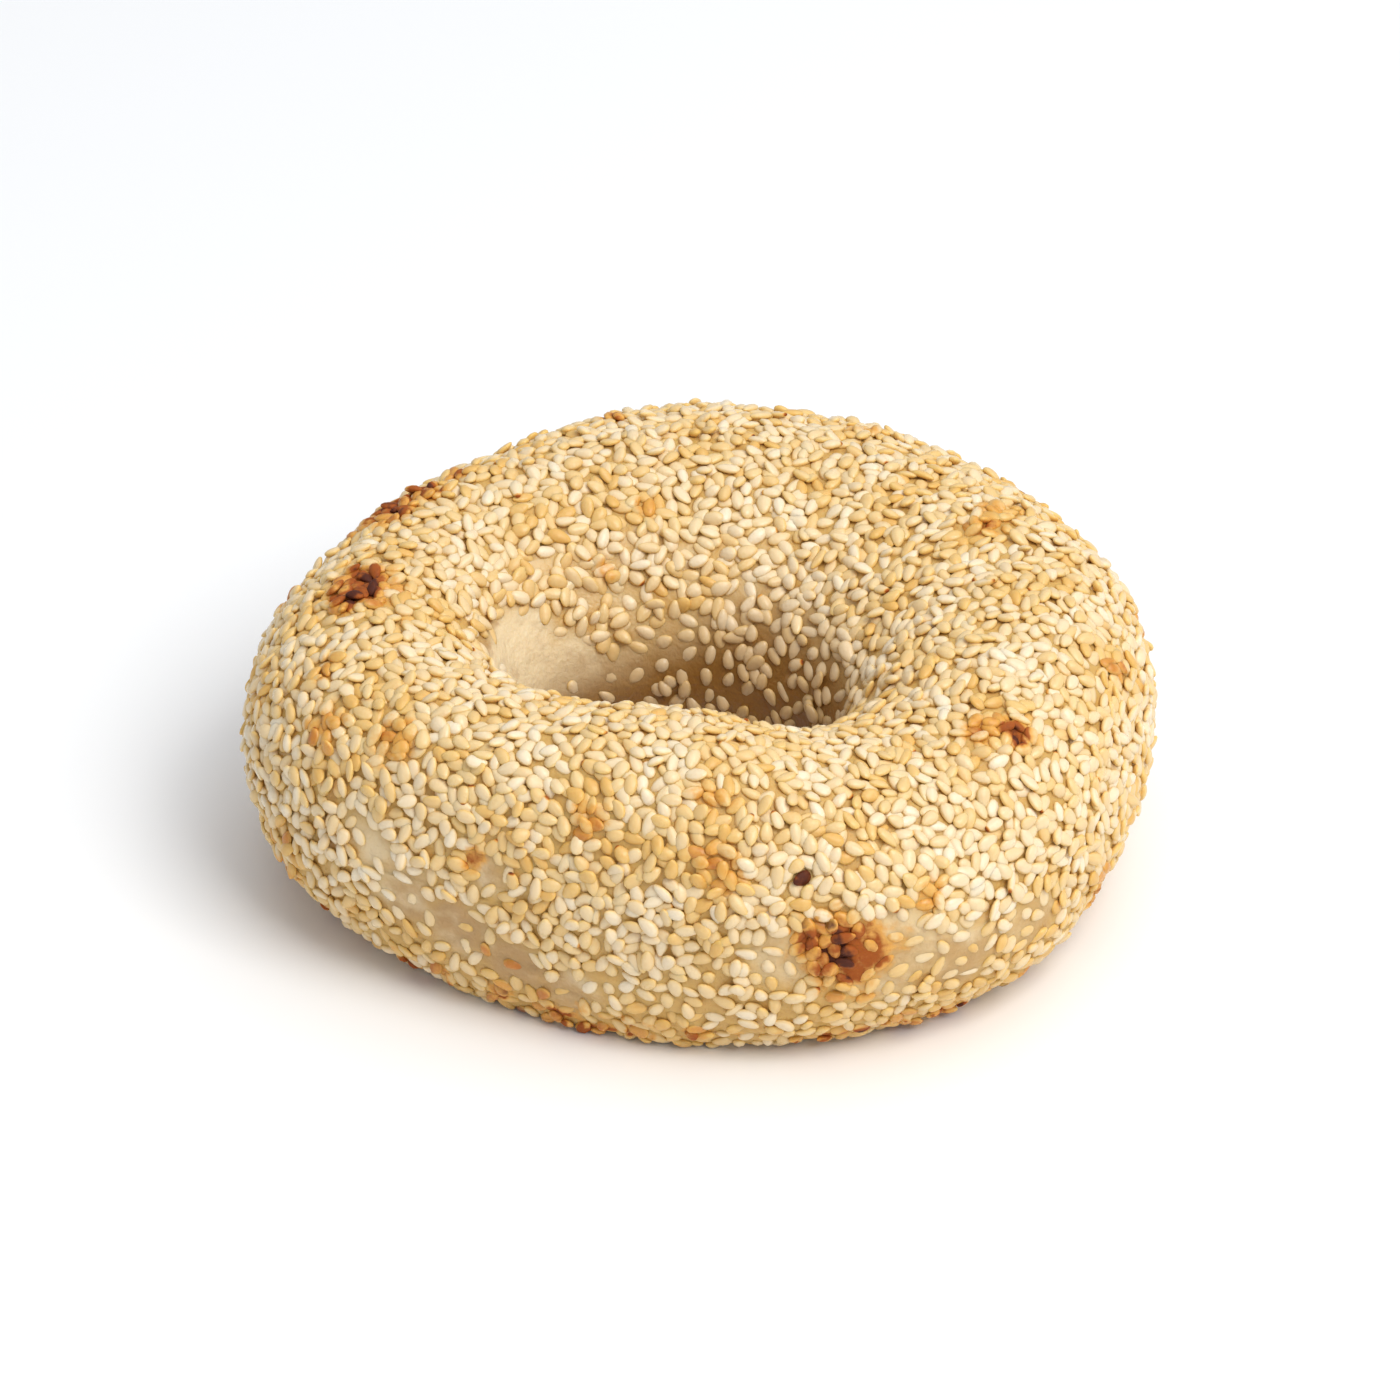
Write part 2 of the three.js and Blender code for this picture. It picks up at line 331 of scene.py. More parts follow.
# Each kind of seed: (name, up to this much baked, paler colour, deeper colour).
SEED_KINDS = [
    ("white", 0.25, srgb(240, 223, 194), srgb(236, 215, 180)),
    ("ivory", 0.39, srgb(238, 217, 182), srgb(233, 208, 167)),
    ("cream", 0.53, srgb(235, 210, 167), srgb(230, 201, 152)),
    ("straw", 0.70, srgb(232, 202, 148), srgb(228, 192, 130)),
    ("golden", 0.92, srgb(230, 193, 126), srgb(223, 176, 98)),
    ("toasted", 1.20, srgb(216, 156, 76), srgb(192, 114, 38)),
    ("dark", math.inf, srgb(146, 78, 20), srgb(96, 40, 4)),
]

# ---- form ------------------------------------------------------------------------------------


def waves(rows, angle):
    return sum(size * np.cos(count * (angle - math.radians(peak))) for count, size, peak in rows)


def swells(rows, angle):
    total = np.zeros_like(angle)
    for size, peak, half_width in rows:
        away = np.mod(angle - math.radians(peak) + math.pi, 2 * math.pi) - math.pi
        total += size * np.exp(-((away / math.radians(half_width)) ** 2))
    return total


def smooth_step(value, low, high):
    share = np.clip((value - low) / (high - low), 0, 1)
    return share * share * (3 - 2 * share)


def unit(vectors):
    return vectors / np.maximum(np.linalg.norm(vectors, axis=-1, keepdims=True), SMALLEST)


def distance(points, place):
    return np.linalg.norm(points - place, axis=-1)


def hole_radius(angle):
    """Distance from the ring's axis to the hole's narrowest outline, an ellipse off the centre."""
    turn = math.radians(HOLE["turn"])
    along = np.cos(angle - turn) / HOLE["half_length"]
    across = np.sin(angle - turn) / HOLE["half_width"]
    start_along = -(HOLE["x"] * math.cos(turn) + HOLE["y"] * math.sin(turn)) / HOLE["half_length"]
    start_across = -(HOLE["y"] * math.cos(turn) - HOLE["x"] * math.sin(turn)) / HOLE["half_width"]
    a = along**2 + across**2
    b = along * start_along + across * start_across
    c = start_along**2 + start_across**2 - 1
    return (np.sqrt(b * b - a * c) - b) / a


def crust(angle, section, outer_side):
    """Points of the crust, round the ring's axis, at ring and section angles in radians."""
    above = np.sin(section) >= 0
    outer = OUTER_RADIUS + waves(OUTLINE_WAVES, angle) + swells(OUTLINE_SWELLS, angle)
    crest_height = CREST_HEIGHT + waves(CREST_HEIGHT_WAVES, angle) + swells(CREST_HEIGHT_SWELLS, angle)
    crest_radius = CREST_RADIUS + waves(CREST_RADIUS_WAVES, angle) + swells(CREST_RADIUS_SWELLS, angle)
    hole = hole_radius(angle) + swells(HOLE_SWELLS, angle)
    throat = FULLNESS["throat"] + swells(THROAT_SWELLS, angle)
    fullness = np.where(above, np.where(outer_side, FULLNESS["shoulder"], throat), FULLNESS["belly"])
    level = np.where(outer_side, BELLY_HEIGHT, WAIST_HEIGHT)
    side = np.where(outer_side, outer, hole)
    middle = np.where(above, crest_radius, np.where(outer_side, FOOT_OUTER, FOOT_INNER))
    reach = np.where(above, crest_height, 0)
    radius = middle + (side - middle) * np.abs(np.cos(section)) ** (2 / fullness)
    height = level + (reach - level) * np.abs(np.sin(section)) ** (2 / fullness)
    waviness = 0
    for rise, round_ring, phase, over, lag in CRUST_RIPPLES:
        along_ring = np.sin(round_ring * angle + math.radians(phase))
        waviness = waviness + rise * along_ring * np.sin(over * section + math.radians(lag))
    off_foot = 1 - smooth_step(-np.sin(section), *RIPPLE_END)
    ripple = off_foot * waviness * radius / outer
    radius = radius + ripple * np.cos(section)
    height = height + ripple * np.sin(section)
    return np.stack([radius * np.cos(angle), radius * np.sin(angle), height + 0 * angle], axis=-1)


def even_grid():
    """The crust as rows of points: one row for each ring step, evenly spread along its section."""
    angle = np.linspace(0, 2 * math.pi, RING_STEPS, endpoint=False)[:, None]
    quarters = []
    for quarter, outer_side in enumerate((True, False, False, True)):
        section = np.linspace(quarter, quarter + 1, SECTION_SAMPLES)[None, :] * math.pi / 2
        quarters.append(crust(angle, section, outer_side))
    line = np.concatenate([*quarters, quarters[0][:, :1]], axis=1)
    steps = np.linalg.norm(np.diff(line, axis=1), axis=2)
    along = np.concatenate([np.zeros((RING_STEPS, 1)), np.cumsum(steps, axis=1)], axis=1)
    share = np.arange(SECTION_STEPS) / SECTION_STEPS
    grid = np.empty((RING_STEPS, SECTION_STEPS, 3))
    for i in range(RING_STEPS):
        for k in range(3):
            grid[i, :, k] = np.interp(share * along[i, -1], along[i], line[i, :, k])
    return grid


def grid_normals(grid):
    round_ring = np.roll(grid, -1, axis=0) - np.roll(grid, 1, axis=0)
    over = np.roll(grid, -1, axis=1) - np.roll(grid, 1, axis=1)
    return unit(np.cross(round_ring, over))


def place_on_crust(ring, section):
    """The crust point named by a ring angle and a section angle in degrees."""
    outer_side = math.cos(math.radians(section)) >= 0
    return crust(np.array(math.radians(ring)), np.array(math.radians(section)), outer_side)


def lumps(points, size, octaves, shift):
    """Soft noise from about -1 to 1 whose lumps are this many millimetres across."""
    flat = points.reshape(-1, 3) / size + shift
    values = [noise.fractal(Vector(p), *FRACTAL, octaves) for p in flat]
    return np.array(values).reshape(points.shape[:-1])


def browning(points):
    """How brown the oven left each point, from 0 to 1, in ragged spots."""
    ragged = BROWN_RAGGED * lumps(points, *RAGGED_NOISE)
    brown = np.zeros(points.shape[:-1])
    for ring, section, radius, strength in BROWNED:
        away = distance(points, place_on_crust(ring, section)) / radius + ragged
        brown = np.maximum(brown, strength * (1 - smooth_step(away, *BROWN_FADE)))
        brown = np.maximum(brown, strength * BROWN_HALO * (1 - smooth_step(away, *HALO_FADE)))
    near_tray = smooth_step(-points[..., 2], -FOOT_BROWN_TOP, -FOOT_BROWN_TOP / 3)
    spots = smooth_step(lumps(points, *TRAY_NOISE), *FOOT_SPOTS)
    return np.maximum(brown, FOOT_BROWN * near_tray * spots)


def golden_patches(points):
    """Soft patches from 0 to 1 in which the seeds took a little more colour."""
    return np.clip(0.5 + GOLDEN_CONTRAST * lumps(points, *GOLDEN_NOISE), 0, 1)


def on_hole_wall(points, normals):
    from_axis = np.hypot(points[..., 0], points[..., 1])
    return (from_axis < FOOT_INNER) & (normals[..., 2] < WALL_FACING)


def lowness(points):
    """From 1 near the foot to 0 where the sides stop facing down."""
    return 1 - smooth_step(points[..., 2], *LOW_PART)


def dough_tone(points, normals):
    # Near the foot the deeper tone is painted shade.
    tone = golden_patches(points) + LOW_SHADE * lowness(points)
    return np.clip(tone - HOLE_PALE * on_hole_wall(points, normals), 0, 1)


def hollow(points, normals):
    """How far down in the hole each point lies, from 0 at its rim to 1."""
    inside = on_hole_wall(points, normals)
    angle = np.arctan2(points[..., 1], points[..., 0])
    level = HOLLOW_LEVEL + HOLLOW_LEAN * np.cos(angle - math.radians(HOLLOW_SIDE))
    down = smooth_step(-points[..., 2], -level - HOLLOW_EDGE, -level + HOLLOW_EDGE)
    return np.where(inside, down, 0)


def seed_share(points, normals):
    """Share of the full cover of seeds that lies on each point, from 0 to 1."""
    wobble = THIN_WOBBLE * lumps(points, *COVER_NOISE)
    share = np.ones(points.shape[:-1])
    for ring, section, radius, left in THIN:
        away = distance(points, place_on_crust(ring, section)) + wobble
        covered = smooth_step(away, radius - THIN_EDGE, radius + THIN_EDGE)
        share = np.minimum(share, left + (1 - left) * covered)
    on_wall = WALL_SHARE + (1 - WALL_SHARE) * smooth_step(points[..., 2], *WALL_COVERED)
    on_wall = np.clip(on_wall + WALL_CLUMPS * wobble, WALL_LEAST, 1)
    share = np.where(on_hole_wall(points, normals), np.minimum(share, on_wall), share)
    return np.where(normals[..., 2] < FOOT_FACING, np.minimum(share, FOOT_SHARE), share)


# ---- dough -----------------------------------------------------------------------------------


def dough_relief(points):
    """How far the dough's skin rises: swells and dimples, low wrinkles, and blisters that browned."""
    soft = SWELL_RISE * lumps(points, *SWELL_NOISE) + DIMPLE_RISE * lumps(points, *DIMPLE_NOISE)
    stretched = points * np.array(WRINKLE_STRETCH)
    wrinkles = WRINKLE_RISE * lowness(points) * lumps(stretched, *WRINKLE_NOISE)
    blisters = BLISTER_RISE * browning(points)
    return soft + wrinkles + blisters - DOUGH_INSET


def shaped_grid():
    """The dough's surface and its normals, in millimetres, just inside the solid's own crust."""
    grid = even_grid()
    normals = grid_normals(grid)
    off_foot = smooth_step(grid[..., 2], *FOOT_FADE)
    grid = grid + normals * (dough_relief(grid) * off_foot)[..., None]
    grid[..., 2] = np.maximum(grid[..., 2], FOOT_LEVEL)
    return grid, grid_normals(grid)


def make_piece(name, mesh_data, material):
    piece = bpy.data.objects.new(name, mesh_data)
    bpy.context.scene.collection.objects.link(piece)
    mesh_data.materials.append(material)
    mesh_data.shade_smooth()
    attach(piece, "root")
    return piece


def store(mesh_data, name, values):
    layer = mesh_data.attributes.new(name, "FLOAT", "POINT")
    layer.data.foreach_set("value", np.ascontiguousarray(values, dtype=np.float32).ravel())


def make_dough(grid, offset, material):
    """A circle spun into a ring, each of whose vertices then goes to its own place on the crust."""
    shape = bmesh.new()
    bmesh.ops.create_circle(shape, segments=SECTION_STEPS, radius=BELLY_HEIGHT)
    upright = Matrix.Rotation(math.pi / 2, 3, "X")
    bmesh.ops.rotate(shape, verts=shape.verts, cent=(0, 0, 0), matrix=upright)
    bmesh.ops.translate(shape, verts=shape.verts, vec=(CREST_RADIUS, 0, 0))
    bmesh.ops.spin(
        shape,
        geom=shape.verts[:] + shape.edges[:],
        axis=(0, 0, 1),
        cent=(0, 0, 0),
        angle=2 * math.pi,
        steps=RING_STEPS,
        use_merge=True,
    )
    keys = np.empty((len(shape.verts), 2), dtype=int)
    for n, vertex in enumerate(shape.verts):
        x, y, z = vertex.co
        ring_turn = math.atan2(y, x) / (2 * math.pi)
        section_turn = math.atan2(z, math.hypot(x, y) - CREST_RADIUS) / (2 * math.pi)
        keys[n, 0] = round(ring_turn * RING_STEPS) % RING_STEPS
        keys[n, 1] = round(section_turn * SECTION_STEPS) % SECTION_STEPS
        vertex.co = (Vector(grid[tuple(keys[n])]) + offset) * MM
    bmesh.ops.recalc_face_normals(shape, faces=shape.faces)
    mesh_data = bpy.data.meshes.new("dough")
    shape.to_mesh(mesh_data)
    shape.free()
    points = grid[keys[:, 0], keys[:, 1]]
    normals = grid_normals(grid)[keys[:, 0], keys[:, 1]]
    store(mesh_data, "browning", browning(points))
    # In the dough's colour these also carry painted shade: the tone near the foot, the hollow down in
    # the hole, and the cover between close seeds.
    store(mesh_data, "golden", dough_tone(points, normals))
    store(mesh_data, "hollow", hollow(points, normals))
    store(mesh_data, "cover", seed_share(points, normals))
    return make_piece("dough", mesh_data, material)


# ---- seeds -----------------------------------------------------------------------------------


def seed_shape():
    """One hulled sesame seed as a unit mesh lying along X: a flat drop, pointed at +X."""
    shape = bmesh.new()
    bmesh.ops.create_uvsphere(shape, u_segments=SEED_SIDES, v_segments=SEED_RINGS, radius=1.0)
    lying = Matrix.Rotation(math.pi / 2, 3, "Y")
    bmesh.ops.rotate(shape, verts=shape.verts, cent=(0, 0, 0), matrix=lying)
    for vertex in shape.verts:
        x, y, z = vertex.co
        taper = 1 - SEED_TAPER * x - SEED_POINT * max(x, 0) ** 2
        thinner = 1 - SEED_TAPER / 2 * x
        flatter = 1 - SEED_FLAT_EDGE * y * y
        vertex.co = (x, y * taper, z * thinner * flatter)
    bmesh.ops.recalc_face_normals(shape, faces=shape.faces)
    points = np.array([vertex.co[:] for vertex in shape.verts])
    faces = [[vertex.index for vertex in face.verts] for face in shape.faces]
    shape.free()
    return points, faces


def surface_places(grid, normals, count, draw):
    """Random places spread evenly by area over the dough: their points and normals."""
    steps = ((0, 0), (1, 0), (1, 1), (0, 1))
    corners = [np.roll(grid, (-i, -j), axis=(0, 1)) for i, j in steps]
    facing = [np.roll(normals, (-i, -j), axis=(0, 1)) for i, j in steps]
    across = np.cross(corners[2] - corners[0], corners[3] - corners[1])
    area = np.linalg.norm(across, axis=-1).ravel()
    chosen = draw.choice(area.size, size=count, p=area / area.sum())
    u, v = draw.random((2, count, 1))
    shares = ((1 - u) * (1 - v), u * (1 - v), u * v, (1 - u) * v)
    points = sum(share * corner.reshape(-1, 3)[chosen] for share, corner in zip(shares, corners))
    outwards = sum(share * side.reshape(-1, 3)[chosen] for share, side in zip(shares, facing))
    return points, unit(outwards)


def hang(points, upwards):
    """The way down the wall of the hole at each place there, and nothing elsewhere."""
    in_hole = hollow(points, upwards)[:, None]
    downwards = np.array([0.0, 0.0, -1.0]) + upwards * upwards[:, 2:]
    return HOLE_HANG * in_hole * downwards


class Bed:
    """The seeds laid so far, kept by cell, so that a new one finds its neighbours quickly."""

    CELL = 1.1 * SEED["length"]
    SPINE = (SEED["length"] - SEED["width"]) / 2  # half of its length without its round ends

    def __init__(self):
        self.cells = {}

    def cell_of(self, point):
        return tuple(math.floor(c / self.CELL) for c in point)

    def is_free(self, point, along, layer, own_room, below_room):
        """Whether a seed has room here. Each seed is taken as three balls along its spine."""
        ci, cj, ck = self.cell_of(point)
        x, y, z = point
        ax, ay, az = (self.SPINE * c for c in along)
        for i in (ci - 1, ci, ci + 1):
            for j in (cj - 1, cj, cj + 1):
                for k in (ck - 1, ck, ck + 1):
                    for (ox, oy, oz), (bx, by, bz), other_layer in self.cells.get((i, j, k), ()):
                        room = own_room if other_layer == layer else below_room
                        dx, dy, dz = x - ox, y - oy, z - oz
                        reach = room + 2 * self.SPINE
                        if dx * dx + dy * dy + dz * dz > reach * reach:
                            continue
                        for s in (-1, 0, 1):
                            ex, ey, ez = dx + s * ax, dy + s * ay, dz + s * az
                            for t in (-1, 0, 1):
                                fx, fy, fz = ex - t * bx, ey - t * by, ez - t * bz
                                if fx * fx + fy * fy + fz * fz < room * room:
                                    return False
        return True

    def lay(self, point, along, layer):
        spine = tuple(self.SPINE * c for c in along)
        self.cells.setdefault(self.cell_of(point), []).append((tuple(point), spine, layer))


def lay_seeds(grid, normals, draw):
    """Every seed's centre, long axis, upward side and own place on the dough, laid in layers."""
    bed = Bed()
    laid = []
    for layer, (tries, own_room, below_room, low, high, lean) in enumerate(SEED_LAYERS):
        points, upwards = surface_places(grid, normals, tries, draw)
        share = seed_share(points, upwards)
        if layer > 0:
            piled = smooth_step(points[:, 2], *PILED) > draw.random(tries)
            share = np.where(piled & (share > PILE_COVER), share, 0)
        headings = unit(np.cross(upwards, unit(draw.normal(size=(tries, 3)))))
        either_way = np.sign(draw.random((tries, 1)) - 0.5)
        headings = unit(headings + hang(points, upwards) * either_way)
        lift = draw.uniform(low, high, tries)
        tilt = np.tan(np.radians(draw.uniform(0, lean, tries)))
        tilting = unit(np.cross(upwards, draw.normal(size=(tries, 3))))
        for n in range(tries):
            if share[n] < NO_SEEDS or share[n] < draw.random() / 2:
                continue
            spread = SEED["width"] / max(share[n], SPARSE) ** 0.5
            point, along = points[n].tolist(), headings[n].tolist()
            if not bed.is_free(point, along, layer, own_room * spread, below_room * spread):
                continue
            bed.lay(point, along, layer)
            up = unit(upwards[n] + tilting[n] * tilt[n])
            forward = unit(headings[n] - up * np.dot(headings[n], up))
            rise = lift[n] - THIN_SINK * (1 - share[n])
            laid.append((points[n] + upwards[n] * rise, forward, up, points[n]))
    return [np.array(column) for column in zip(*laid)]


def seed_cloud(shape_points, centres, forward, up, draw):
    """The vertices of all the seeds, each a little different, none of them under the table."""
    count = len(centres)
    size = draw.normal(1, SEED_UNEVENNESS, (3, count, 1)).clip(SEED_LEAST, SEED_MOST)
    length, width, thickness = (SEED[name] / 2 * size[k] for k, name in enumerate(SEED))
    curl = draw.uniform(-SEED_CURL, SEED_CURL, (count, 1))
    lopsided = draw.uniform(-SEED_LOPSIDED, SEED_LOPSIDED, (count, 1))
    x, y, z = shape_points.T
    local_x = length * x
    local_y = width * (y * (1 + lopsided * x)) + curl / 2 * x**2
    local_z = thickness * z + curl * x**2
    sides = ((local_x, forward), (local_y, np.cross(up, forward)), (local_z, up))
    cloud = centres[:, None] + sum(reach[..., None] * side[:, None] for reach, side in sides)
    sunk = np.minimum(cloud[..., 2].min(axis=1), 0)
    cloud[..., 2] -= sunk[:, None]
    return cloud


def seed_mesh(name, cloud, faces):
    """Joins the seeds of one kind into one mesh."""
    count, corners = cloud.shape[:2]
    starts = np.arange(count)[:, None] * corners
    quads = [face for face in faces if len(face) == 4]
    ends = [face for face in faces if len(face) == 3]
    joined = [starts[..., None] + np.array(group)[None] for group in (quads, ends)]
    rows = [row for group in joined for row in group.reshape(-1, group.shape[-1]).tolist()]
    mesh_data = bpy.data.meshes.new(name)
    mesh_data.from_pydata((cloud.reshape(-1, 3) * MM).tolist(), [], rows)
    return mesh_data


def how_baked(roots, depth, draw):
    """What decides the kind of each seed: luck and its place, from about 0 to 2."""
    luck = draw.random(len(roots))
    unevenly = 0.5 + draw.random(len(roots))
    baked = BAKED_BY_LUCK * luck + BAKED_IN_GOLDEN * golden_patches(roots)
    baked += BAKED_IN_BROWN * browning(roots) * unevenly
    # Near the foot a deeper kind is painted shade.
    baked += LOW_SHADE_ON_SEEDS * lowness(roots) - UNBAKED_IN_HOLLOW * depth
    return baked


def browned_tips(shape_points, count, draw):
    """How brown a tip makes each vertex of each seed."""
    browned = draw.random(count) < TIP_SHARE
    strength = np.where(browned, draw.uniform(*TIP_BROWN, count), 0.0)
    return strength[:, None] * smooth_step(shape_points[None, :, 0], *TIP_REACH)


def seed_browning(cloud, centres, draw):
    """How brown its place makes each vertex of each seed."""
    brown = browning(cloud) * draw.uniform(*BROWN_SPREAD, (len(centres), 1))
    for ring, section in BURNT_SEEDS:
        brown[distance(centres, place_on_crust(ring, section)).argmin()] = 1.0
    return brown


def make_seeds(grid, normals, offset, materials):
    draw = np.random.default_rng(SEED_DRAW)
    shape_points, faces = seed_shape()
    centres, forward, up, roots = lay_seeds(grid, normals, draw)
    cloud = seed_cloud(shape_points, centres, forward, up, draw)
    count, corners = cloud.shape[:2]
    depth = hollow(roots, up)
    baked = how_baked(roots, depth, draw)
    looks = {
        "tip": browned_tips(shape_points, count, draw),
        "tone": np.repeat(draw.random((count, 1)), corners, axis=1),
        "browning": seed_browning(cloud, centres, draw),
        # Masks for painted shade: a seed's underside, and the hollow down in the hole.
        "under": np.repeat(smooth_step(-shape_points[None, :, 2], *UNDER_SIDE), count, axis=0),
        "hollow": np.repeat(depth[:, None], corners, axis=1),
    }
    lowest = -math.inf
    for name, highest, _, _ in SEED_KINDS:
        kind = (baked > lowest) & (baked <= highest)
        lowest = highest
        mesh_data = seed_mesh("seeds_" + name, cloud[kind] + np.array(offset), faces)
        for look, values in looks.items():
            store(mesh_data, look, values[kind])
        make_piece("seeds_" + name, mesh_data, materials[name])


# ---- materials -------------------------------------------------------------------------------


def feed(tree, socket, value):
    """Gives an input its value, or a link from the output that holds it."""
    if isinstance(value, bpy.types.NodeSocket):
        tree.links.new(value, socket)
    else:
        socket.default_value = value


def add_node(tree, kind, inputs, **settings):
    """A shader node with its settings, its inputs fed by name."""
    node = tree.nodes.new(kind)
    for name, value in settings.items():
        setattr(node, name, value)
    for name, value in inputs.items():
        feed(tree, node.inputs[name], value)
    return node


def mix_colours(tree, share, first, second):
    """A colour mix. Its sockets go by number, because the node has some of the same name."""
    node = tree.nodes.new("ShaderNodeMix")
    node.data_type = "RGBA"
    for number, value in ((0, share), (6, first), (7, second)):
        feed(tree, node.inputs[number], value)
    return node.outputs[2]


def calculate(tree, operation, *values):
    node = tree.nodes.new("ShaderNodeMath")
    node.operation = operation
    for socket, value in zip(node.inputs, values):
        feed(tree, socket, value)
    return node.outputs[0]


def ramp(tree, value, low, high):
    """Rises softly from 0 at `low` to 1 at `high`."""
    inputs = {"Value": value, "From Min": low, "From Max": high}
    node = add_node(tree, "ShaderNodeMapRange", inputs, interpolation_type="SMOOTHSTEP")
    return node.outputs["Result"]


def noise_texture(tree, place, scale, detail):
    inputs = {"Vector": place, "Scale": scale, "Detail": detail}
    return add_node(tree, "ShaderNodeTexNoise", inputs).outputs["Fac"]


def attribute(tree, name):
    return add_node(tree, "ShaderNodeAttribute", {}, attribute_name=name).outputs["Fac"]


def use_group(tree, group, inputs):
    return add_node(tree, "ShaderNodeGroup", inputs, node_tree=group)


def new_group(name, inputs, outputs):
    """An empty node group with these sockets: its tree, its input node and its output node."""
    tree = bpy.data.node_groups.new(name, "ShaderNodeTree")
    for side, rows in (("INPUT", inputs), ("OUTPUT", outputs)):
        for label, kind in rows:
            tree.interface.new_socket(label, in_out=side, socket_type="NodeSocket" + kind)
    return tree, tree.nodes.new("NodeGroupInput"), tree.nodes.new("NodeGroupOutput")


def oven_colour_group():
    """Colour of something baked: pale to deep by tone, mottled, then golden to charred by heat."""
    tree, given, result = new_group(
        "oven_colour",
        [
            ("Place", "Vector"),
            ("Paler", "Color"),
            ("Deeper", "Color"),
            ("Tone", "Float"),
            ("Mottle", "Float"),
            ("Mottle size", "Float"),
            ("Heat", "Float"),
        ],
        [("Colour", "Color"), ("Dryness", "Float")],
    )
    sized = tree.nodes.new("ShaderNodeVectorMath")
    sized.operation = "DIVIDE"
    feed(tree, sized.inputs[0], given.outputs["Place"])
    feed(tree, sized.inputs[1], given.outputs["Mottle size"])
    patchy = noise_texture(tree, sized.outputs[0], 1.0, MOTTLE_DETAIL)
    off_middle = calculate(tree, "SUBTRACT", patchy, 0.5)
    tone = calculate(tree, "MULTIPLY_ADD", off_middle, given.outputs["Mottle"], given.outputs["Tone"])
    depth = ramp(tree, tone, 0.0, 1.0)
    colour = mix_colours(tree, depth, given.outputs["Paler"], given.outputs["Deeper"])
    heat = given.outputs["Heat"]
    grain = noise_texture(tree, given.outputs["Place"], TOAST_GRAIN, GRAIN_DETAIL)
    ragged = calculate(tree, "MULTIPLY", calculate(tree, "SUBTRACT", grain, 0.5), TOAST_RAGGED)
    warmed = calculate(tree, "MULTIPLY_ADD", ragged, ramp(tree, heat, *HEAT_BEGINS), heat)
    for begins, done, toasted in TOASTING:
        colour = mix_colours(tree, ramp(tree, warmed, begins, done), colour, toasted)
    begins, done, _ = TOASTING[1]
    browned = ramp(tree, warmed, begins, done)
    dryness = calculate(tree, "MAXIMUM", calculate(tree, "MULTIPLY", depth, TONE_DRYNESS), browned)
    feed(tree, result.inputs["Colour"], colour)
    feed(tree, result.inputs["Dryness"], dryness)
    return tree


def skin_grain_group():
    """Height of a fine uneven skin: soft swells with smaller pits."""
    tree, given, result = new_group(
        "skin_grain",
        [("Place", "Vector"), ("Swell scale", "Float"), ("Pit scale", "Float"), ("Pits", "Float")],
        [("Height", "Float")],
    )
    place = given.outputs["Place"]
    swell = noise_texture(tree, place, given.outputs["Swell scale"], GRAIN_DETAIL)
    pit = noise_texture(tree, place, given.outputs["Pit scale"], PIT_DETAIL)
    depth = calculate(tree, "MULTIPLY", pit, given.outputs["Pits"])
    feed(tree, result.inputs["Height"], calculate(tree, "SUBTRACT", swell, depth))
    return tree


def new_material(name):
    material = bpy.data.materials.new(name)
    material.use_nodes = True
    tree = material.node_tree
    surface = tree.nodes["Principled BSDF"]
    place = tree.nodes.new("ShaderNodeTexCoord").outputs["Object"]
    return material, tree, surface, place


def finish_surface(tree, surface, place, colour, dryness, skin_grain, finish):
    """Sets how a baked surface takes the light: colour, roughness, light let in, and fine grain."""
    rough = calculate(tree, "MULTIPLY_ADD", dryness, finish["dry_roughness"], finish["roughness"])
    grain_inputs = {
        "Place": place,
        "Swell scale": finish["swell_scale"],
        "Pit scale": finish["pit_scale"],
        "Pits": finish["pits"],
    }
    bump_inputs = {
        "Height": use_group(tree, skin_grain, grain_inputs).outputs["Height"],
        "Strength": finish["grain"],
        "Distance": finish["grain_depth"],
    }
    surface_inputs = {
        "Base Color": colour,
        "Roughness": rough,
        "Specular IOR Level": finish["gloss"],
        "Subsurface Weight": finish["light_let_in"],
        "Subsurface Radius": finish["light_by_colour"],
        "Subsurface Scale": finish["light_reach"],
        "Normal": add_node(tree, "ShaderNodeBump", bump_inputs).outputs["Normal"],
    }
    for name, value in surface_inputs.items():
        feed(tree, surface.inputs[name], value)


def dough_material(oven_colour, skin_grain):
    """Baked dough skin: slightly translucent, pale with golden patches and matt brown spots."""
    material, tree, surface, place = new_material("dough_crust")
    cover = attribute(tree, "cover")
    colour_inputs = {
        "Place": place,
        # Where seeds lie close, painted shade of the crevices.
        "Paler": mix_colours(tree, cover, DOUGH_PALE, DOUGH_CREVICE_SHADE),
        "Deeper": mix_colours(tree, cover, DOUGH_GOLD_AND_SHADE, DOUGH_CREVICE_SHADE),
        "Tone": attribute(tree, "golden"),
        "Mottle": DOUGH_FINISH["mottle"],
        "Mottle size": DOUGH_FINISH["mottle_size"],
        "Heat": attribute(tree, "browning"),
    }
    baked = use_group(tree, oven_colour, colour_inputs)
    # Painted shade down in the hole.
    colour = mix_colours(tree, attribute(tree, "hollow"), baked.outputs["Colour"], DOUGH_HOLLOW_SHADE)
    finish_surface(tree, surface, place, colour, baked.outputs["Dryness"], skin_grain, DOUGH_FINISH)
    return material


def with_painted_shade(tree, colour, under, hollow_shade):
    """A seed's colour with painted shade on its side in the dough, and down in the hole."""
    return mix_colours(tree, hollow_shade, mix_colours(tree, under, colour, SEED_UNDER_SHADE), SEED_HOLLOW_SHADE)


